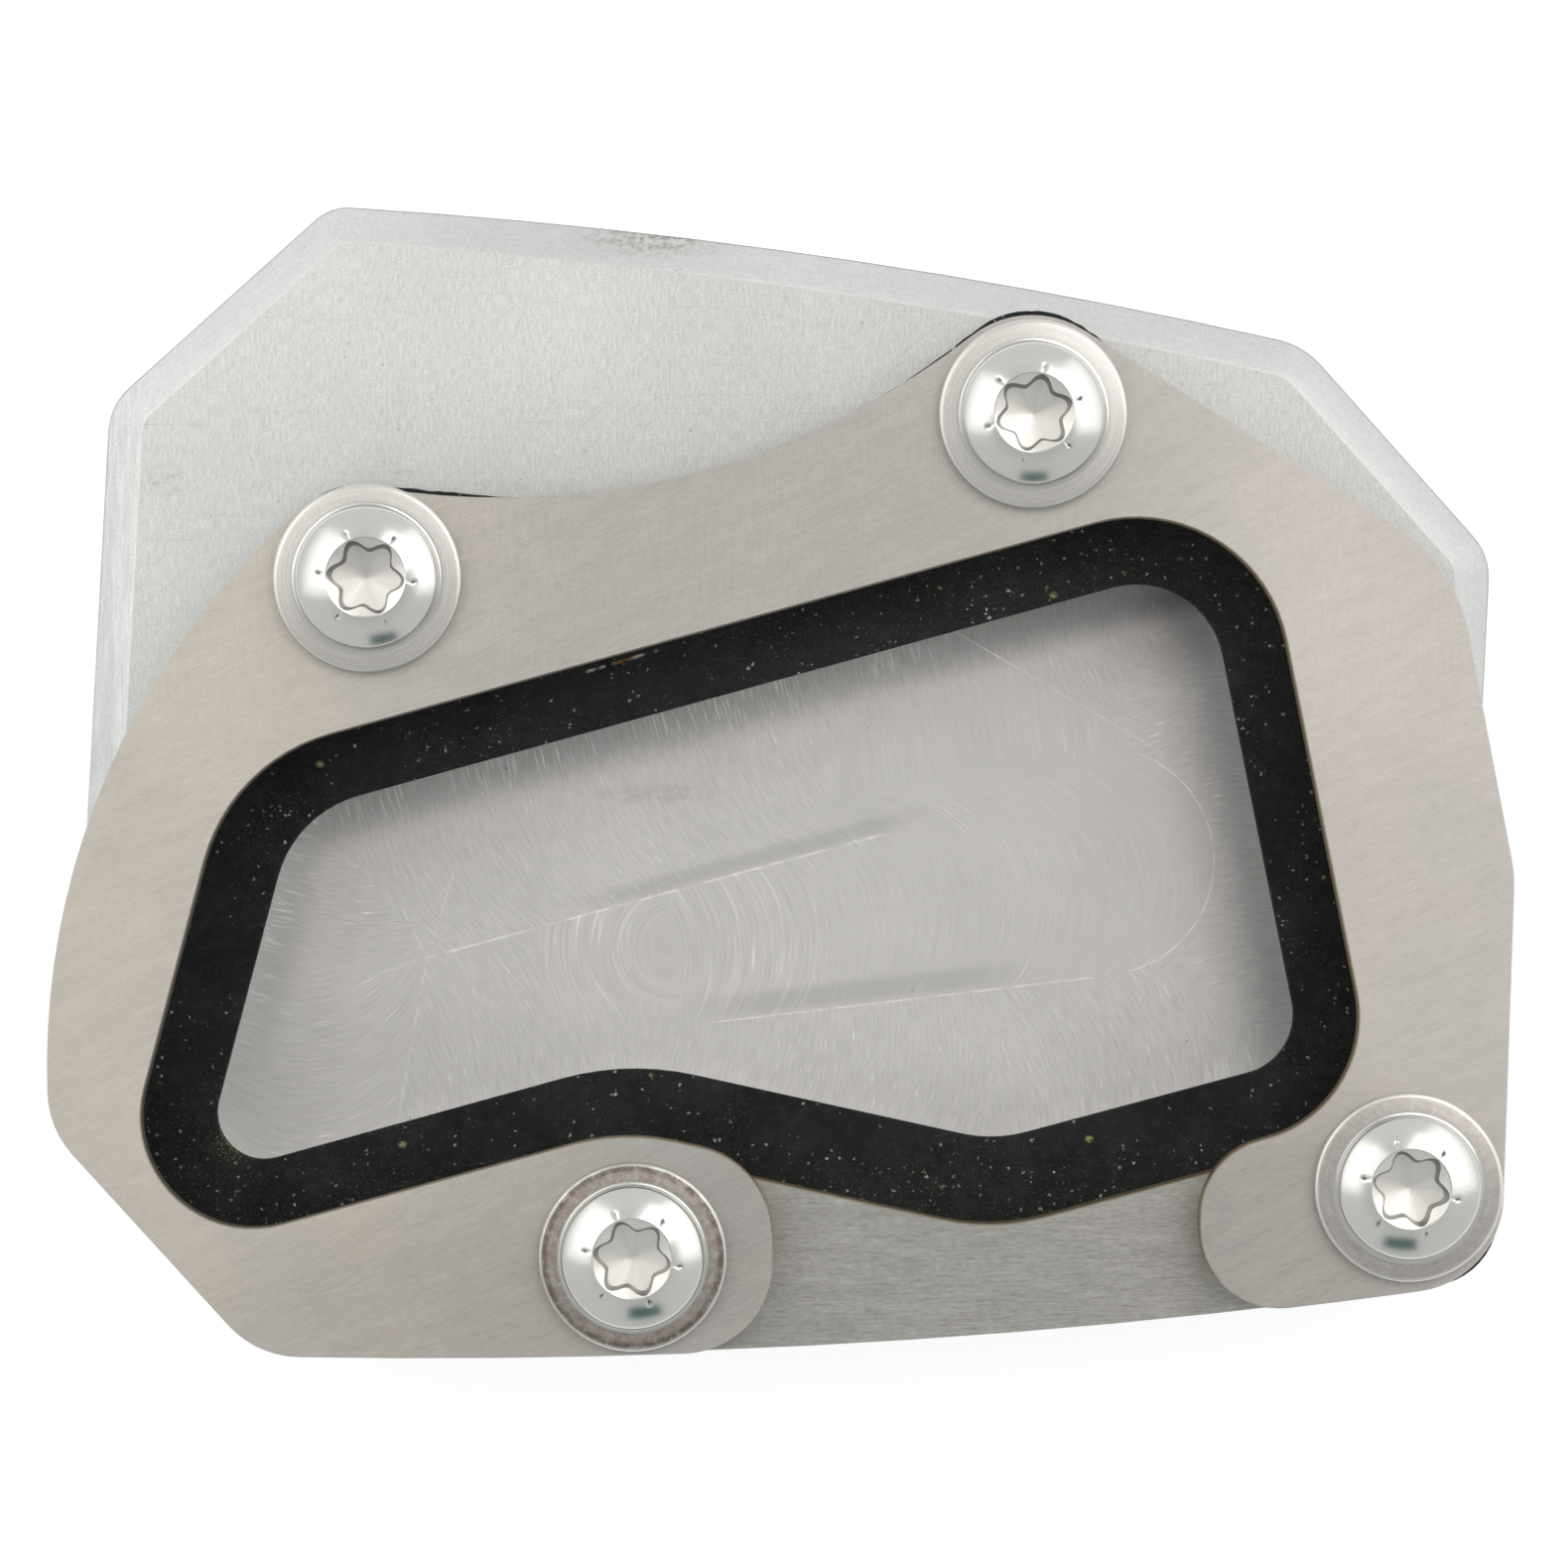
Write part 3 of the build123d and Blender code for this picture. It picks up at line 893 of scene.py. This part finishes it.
@dataclass(frozen=True)
class FlangeScrew:
    """One flange screw with a lobed recess, in millimetres, with its head seated on its origin."""

    seat: Triple
    turn: float
    around: int = 192
    mouth: float = 2.9
    top: float = 3.3
    dome_foot: float = 1.2
    dome_radius: float = 8.0
    dome_reach: float = 4.95  # where the dome starts to round off into the skirt
    dome_steps: int = 22
    skirt: tuple[Point, ...] = (
        (5.03, 2.055), (5.09, 1.975), (5.13, 1.88), (5.15, 1.77), (5.16, 1.32), (5.19, 1.21), (5.25, 1.13),
        (5.33, 1.1), (5.42, 1.09), (6.0, 1.03), (6.46, 0.97), (6.54, 0.955), (6.61, 0.94), (6.71, 0.87),
        (6.77, 0.8), (6.8, 0.7), (6.8, 0.12), (6.7, 0.0), (3.3, 0.0),
    )
    lobe_count: int = 6
    lobe_tip: float = 2.8
    lobe_waist: float = 2.1
    dish_slope: float = 0.32
    rim_share: float = 0.985  # how much of its size the recess keeps just below its mouth
    rim_drop: float = 0.08
    recess_floor: float = 1.72
    recess_point: float = 1.18
    floor_rings: tuple[float, ...] = (0.89, 0.8, 0.6, 0.4, 0.2, 0.02)
    dent_depths: tuple[float, ...] = (0.15, 0.08, 0.14, 0.13, 0.07, 0.14)
    dent_zone: Point = (2.92, 4.1)
    pit_radius: float = 3.44
    pit_aside: float = 0.02
    pit_size: Point = (0.16, 0.12)
    tail_radius: float = 3.12
    tail_size: Point = (0.2, 0.08)
    tail_share: float = 0.35
    shank: float = 2.99
    core: float = 2.55
    tip: float = 2.2
    pitch: float = 1.0
    crest: Point = (0.44, 0.56)
    thread_start: float = -1.6
    thread_sides: int = 24
    length: float = 16.0

    def head_line(self) -> list[Point]:
        """Return the head's half section, from the mouth of the recess to the thread."""
        middle = self.top - math.sqrt(self.dome_radius**2 - self.mouth**2)
        line = []
        for step in range(self.dome_steps + 1):
            radius = self.mouth + (self.dome_reach - self.mouth) * step / self.dome_steps
            line.append((radius, middle + math.sqrt(self.dome_radius**2 - radius**2)))
        return [*line, *self.skirt, (self.shank, -0.25), (self.shank, -1.2), (self.core, -1.7)]

    def drawn(self, shape: Shape, line: list[Point]) -> list:
        """Draw a half section into a shape, and return its points and edges."""
        points = [shape.verts.new((radius, 0.0, height)) for radius, height in line]
        return points + [shape.edges.new(pair) for pair in zip(points, points[1:])]

    def lathe(self, shape: Shape) -> None:
        """Spin the head's half section into the shape."""
        bmesh.ops.spin(
            shape, geom=self.drawn(shape, self.head_line()), cent=(0, 0, 0), axis=(0, 0, 1), angle=math.tau,
            steps=self.around, use_merge=True,
        )

    def lobes(self, angle: float) -> float:
        """Return the radius of the lobed recess at an angle."""
        middle, swing = (self.lobe_tip + self.lobe_waist) / 2, (self.lobe_tip - self.lobe_waist) / 2
        return middle + swing * math.cos(self.lobe_count * angle)

    def dish(self, radius: float) -> float:
        """Return the height of the recess's dished mouth at a radius."""
        return self.top - (self.mouth - radius) * self.dish_slope

    def cone(self, radius: float) -> float:
        """Return the height of the recess's coned floor at a radius."""
        return self.recess_point + (self.recess_floor - self.recess_point) * radius / self.lobe_tip

    def sink(self, shape: Shape, edges: list, share: float, height: Callable[[float], float]) -> list:
        """Extrude a closed loop of edges to a new loop that follows the lobes.

        Args:
            shape: Shape that the loop bounds.
            edges: Edges of the loop.
            share: Size of the new loop, with 1 as the lobes' full size.
            height: Rule that gives the height of a point of the new loop from its radius.

        Returns:
            The edges of the new loop.
        """
        made = bmesh.ops.extrude_edge_only(shape, edges=edges)["geom"]
        ring = {item for item in made if isinstance(item, bmesh.types.BMVert)}
        for vert in ring:
            angle = math.atan2(vert.co.y, vert.co.x)
            radius = self.lobes(angle) * share
            vert.co = Vector((radius * math.cos(angle), radius * math.sin(angle), height(radius)))
        return [item for item in made if isinstance(item, bmesh.types.BMEdge) and ring.issuperset(item.verts)]

    def recess(self, shape: Shape) -> None:
        """Sink the lobed recess, with a dished mouth and a coned floor, into the head."""
        edges = [edge for edge in shape.edges if edge.is_boundary and edge.verts[0].co.z > self.top - 0.05]
        edges = self.sink(shape, edges, 1.0, self.dish)
        edges = self.sink(shape, edges, self.rim_share, lambda radius: self.dish(radius) - self.rim_drop)
        for share in self.floor_rings:
            edges = self.sink(shape, edges, share, self.cone)
        bmesh.ops.contextual_create(shape, geom=edges)

    def dents(self, shape: Shape) -> None:
        """Punch a small dent, with a tail towards the recess, into the dome beside each lobe."""
        step = math.tau / self.lobe_count
        for vert in shape.verts:
            radius = math.hypot(vert.co.x, vert.co.y)
            if vert.co.z > self.dome_foot and self.dent_zone[0] < radius < self.dent_zone[1]:
                turn = math.atan2(vert.co.y, vert.co.x) % math.tau
                off = math.remainder(turn, step) * radius
                pit = self.fading(radius - self.pit_radius, off - self.pit_aside, self.pit_size)
                tail = self.fading(radius - self.tail_radius, off, self.tail_size)
                depth = self.dent_depths[round(turn / step) % self.lobe_count]
                vert.co.z -= depth * (pit + self.tail_share * tail)

    def fading(self, along: float, across: float, size: Point) -> float:
        """Return a level that is 1 in the middle of a dent and fades out over its size."""
        return math.exp(-((along / size[0]) ** 2) - (across / size[1]) ** 2)

    def thread(self, shape: Shape) -> None:
        """Wind the thread down the shank and close its end."""
        start, span = self.thread_start, self.length + self.thread_start
        turns = int(span / self.pitch - 1.0)
        crest = [(self.shank, start - share * self.pitch) for share in self.crest]
        line = [(self.core, start), *crest, (self.core, start - self.pitch)]
        bmesh.ops.spin(
            shape, geom=self.drawn(shape, line), cent=(0, 0, 0), axis=(0, 0, 1), angle=math.tau * turns,
            dvec=(0, 0, -self.pitch / self.thread_sides), steps=self.thread_sides * turns, use_merge=False,
        )
        end = bmesh.ops.create_cone(
            shape, cap_ends=True, segments=2 * self.thread_sides, radius1=self.tip, radius2=self.core + 0.02,
            depth=span,
        )["verts"]
        bmesh.ops.translate(shape, verts=end, vec=(0, 0, (start - self.length) / 2))

    def add_to(self, target: Shape, layer: Any) -> None:
        """Build the screw and add it to a shape in the part's frame.

        Args:
            target: Shape that takes the screw.
            layer: Layer of the shape that keeps each point's place on its own screw.
        """
        shape = bmesh.new()
        self.lathe(shape)
        self.recess(shape)
        self.dents(shape)
        bmesh.ops.remove_doubles(shape, verts=shape.verts, dist=MERGE)
        bmesh.ops.recalc_face_normals(shape, faces=shape.faces)
        self.thread(shape)
        turned = Matrix.Rotation(math.radians(self.turn), 3, "Z")
        bmesh.ops.rotate(shape, verts=shape.verts, cent=(0, 0, 0), matrix=turned)
        twins = {}
        for vert in shape.verts:
            twin = target.verts.new((vert.co + Vector(self.seat)) * MM)
            twin[layer] = vert.co
            twins[vert] = twin
        for face in shape.faces:
            target.faces.new([twins[vert] for vert in face.verts])
        shape.free()


@dataclass(frozen=True)
class ScrewSet:
    """The four screws, each at its place on the clamp and with its turn in degrees."""

    node: str = "flange_screws"
    level: float = 19.0
    crease: float = 32.0
    places: tuple[Triple, ...] = (
        (-29.7, 14.45, 54.0), (18.2, 26.25, 16.5), (-10.6, -34.35, 50.5), (45.2, -29.35, 47.0),
    )

    def build(self, finish: PlatedSteel) -> bpy.types.Object:
        """Build the screws and put them in place of their solids.

        Args:
            finish: Finish of the screws.

        Returns:
            The piece that holds all four.
        """
        shape = bmesh.new()
        layer = shape.verts.layers.float_vector.new(finish.place)
        for x, y, turn in self.places:
            FlangeScrew((x, y, self.level), turn).add_to(shape, layer)
        piece = shown(self.node + "_dressed", shape, [finish.dress()], self.crease)
        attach(piece, BODY)
        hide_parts(self.node)
        return piece


@dataclass(frozen=True)
class Panel:
    """A soft lamp that faces the part.

    Attributes:
        name: Name of the lamp.
        place: Middle of the panel, in millimetres.
        size: Width and height of the panel.
        level: Brightness of its face, with 1 as white.
        tint: Colour of its light.
    """

    name: str
    place: Triple
    size: Point
    level: float
    tint: Triple = (1.0, 1.0, 1.0)

    def hang(self) -> None:
        """Hang the panel in the studio."""
        data = bpy.data.lights.new(self.name, "AREA")
        data.shape = "RECTANGLE"
        data.color = self.tint
        data.size, data.size_y = self.size[0] * MM, self.size[1] * MM
        data.energy = self.level * math.pi * data.size * data.size_y
        lamp = placed(self.name, data)
        lamp.location = Vector(self.place) * MM
        lamp.rotation_euler = (-Vector(self.place)).to_track_quat("-Z", "Y").to_euler()
        lamp.visible_camera = False


@dataclass(frozen=True)
class Studio:
    """Pale floor, soft light, a dark card that the screws mirror, and an overhead camera, in millimetres."""

    aim: Point = (0.28, -0.35)
    height: float = 619.0
    lens: float = 191.39
    sensor: float = 36.0
    paper: Colour = shade(184, 184, 184)
    paper_glow: float = 0.7
    floor_reach: float = 12000.0
    floor_drop: float = 0.02
    card_size: Point = (102.0, 56.0)
    card_place: Triple = (26.0, -205.0, 112.0)
    card_colour: Colour = shade(0, 80, 76)
    surround: Colour = (0.99, 1.0, 1.0, 1.0)
    horizon: float = 0.82
    overhead: float = 0.57
    behind: float = 0.08
    panels: tuple[Panel, ...] = (
        Panel("right_panel", (245.0, 105.0, 165.0), (370.0, 190.0), 0.65),
        Panel("right_middle", (240.0, 100.0, 180.0), (270.0, 120.0), 0.4),
        Panel("left_panel", (-215.0, 78.0, 175.0), (300.0, 170.0), 0.65),
        Panel("left_middle", (-210.0, 78.0, 185.0), (220.0, 110.0), 0.35),
        Panel("back_key", (190.0, 215.0, 410.0), (340.0, 340.0), 1.6, (1.0, 0.97, 0.96)),
        Panel("left_key", (-210.0, 150.0, 400.0), (260.0, 260.0), 0.85, (1.0, 0.98, 0.96)),
    )

    def camera(self) -> None:
        """Look straight down on the part."""
        data = bpy.data.cameras.new("overhead")
        data.lens = self.lens
        data.sensor_width = self.sensor
        data.clip_start = 0.01
        data.clip_end = 50.0
        camera = placed("overhead", data)
        camera.location = (self.aim[0] * MM, self.aim[1] * MM, self.height * MM)
        bpy.context.scene.camera = camera

    def floor(self) -> None:
        """Lay a white floor that keeps a faint shadow."""
        shape = bmesh.new()
        bmesh.ops.create_grid(shape, x_segments=1, y_segments=1, size=self.floor_reach * MM)
        bmesh.ops.translate(shape, verts=shape.verts, vec=(0, 0, -self.floor_drop * MM))
        recipe = Recipe("floor_white")
        recipe.tree.nodes.remove(recipe.shader)
        path = recipe.node("LightPath")
        seen = Field(recipe, path.outputs["Is Camera Ray"]).above(Field(recipe, path.outputs["Is Glossy Ray"]))
        seen = seen.above(Field(recipe, path.outputs["Is Transmission Ray"]))
        paper = recipe.fill(recipe.node("BsdfDiffuse"), {"Color": self.paper})
        glow = recipe.fill(recipe.node("Emission"), {"Strength": seen * self.paper_glow})
        both = recipe.node("AddShader")
        recipe.tree.links.new(paper.outputs[0], both.inputs[0])
        recipe.tree.links.new(glow.outputs[0], both.inputs[1])
        output = next(node for node in recipe.tree.nodes if node.type == "OUTPUT_MATERIAL")
        recipe.tree.links.new(both.outputs[0], output.inputs["Surface"])
        shown("floor", shape, [recipe.material], 30.0)

    def card(self) -> None:
        """Stand a small dark card in front of the part, out of the camera's sight."""
        shape = bmesh.new()
        bmesh.ops.create_grid(shape, x_segments=1, y_segments=1, size=0.5)
        bmesh.ops.scale(shape, vec=(self.card_size[0] * MM, self.card_size[1] * MM, 1.0), verts=shape.verts)
        bmesh.ops.rotate(shape, verts=shape.verts, cent=(0, 0, 0), matrix=Matrix.Rotation(math.radians(90), 3, "X"))
        bmesh.ops.translate(shape, verts=shape.verts, vec=Vector(self.card_place) * MM)
        recipe = Recipe("card_dark")
        recipe.fill(recipe.shader, {"Base Color": shade(0, 0, 0), "Specular IOR Level": 0.0})
        recipe.fill(recipe.shader, {"Emission Color": self.card_colour, "Emission Strength": 1.0})
        card = shown("card", shape, [recipe.material], 30.0)
        card.visible_camera = card.visible_shadow = card.visible_diffuse = False

    def sky(self) -> None:
        """Set a soft grey surround, dimmer overhead than low down, and dimmer in front than behind."""
        world = bpy.data.worlds.new("soft_surround")
        bpy.context.scene.world = world
        world.use_nodes = True
        board = Board(world.node_tree)
        read = board.node("TexCoord")
        _, y, z = board.split(Field(board, read.outputs["Generated"]))
        level = self.horizon + z.rise(0.55, 0.9) * (self.overhead - self.horizon) + y * self.behind
        back = next(node for node in world.node_tree.nodes if node.type == "BACKGROUND")
        board.fill(back, {"Color": self.surround, "Strength": level})

    def build(self) -> None:
        """Set up the whole studio."""
        self.camera()
        self.floor()
        self.card()
        self.sky()
        for panel in self.panels:
            panel.hang()
        bpy.context.scene.view_settings.view_transform = "Standard"


def main() -> None:
    """Build every piece in its place, then the studio."""
    clamp_steel = BrushedSteel(
        "clamp_brushed", Stroke.SLANTED,
        cool=shade(180, 177, 172), warm=shade(192, 185, 175), rosy=shade(190, 184, 178),
        fine=0.26, soft=0.18, hatch=0.16, tone_swing=0.22,
    )
    ring_steel = BrushedSteel(
        "ring_brushed", Stroke.LEVEL,
        cool=shade(166, 164, 159), warm=shade(172, 169, 163), rosy=shade(172, 169, 163),
        fine=0.65, soft=0.3, hatch=0.0, tone_swing=0.0,
    )
    pieces = [
        BasePlate("base_plate", Slot.BASE, 0.15).build(
            BrushedAluminium().dress(), CutAluminium().dress(), MilledPocket().dress(),
        ),
        RubberPad("rubber_pad", Slot.PAD, 0.1).build(BlackRubber().dress()),
        Plate("spacer_ring", Slot.RING, 0.1).build(ring_steel.dress()),
        Plate("clamp_plate", Slot.CLAMP, 0.1).build(clamp_steel.dress()),
        ScrewSet().build(PlatedSteel()),
    ]
    for piece in pieces:
        log.info("%s: %d faces", piece.name, len(piece.data.polygons))
    Studio().build()


if __name__ == "__main__":
    logging.basicConfig(level=logging.INFO, format="%(name)s: %(message)s")
    main()
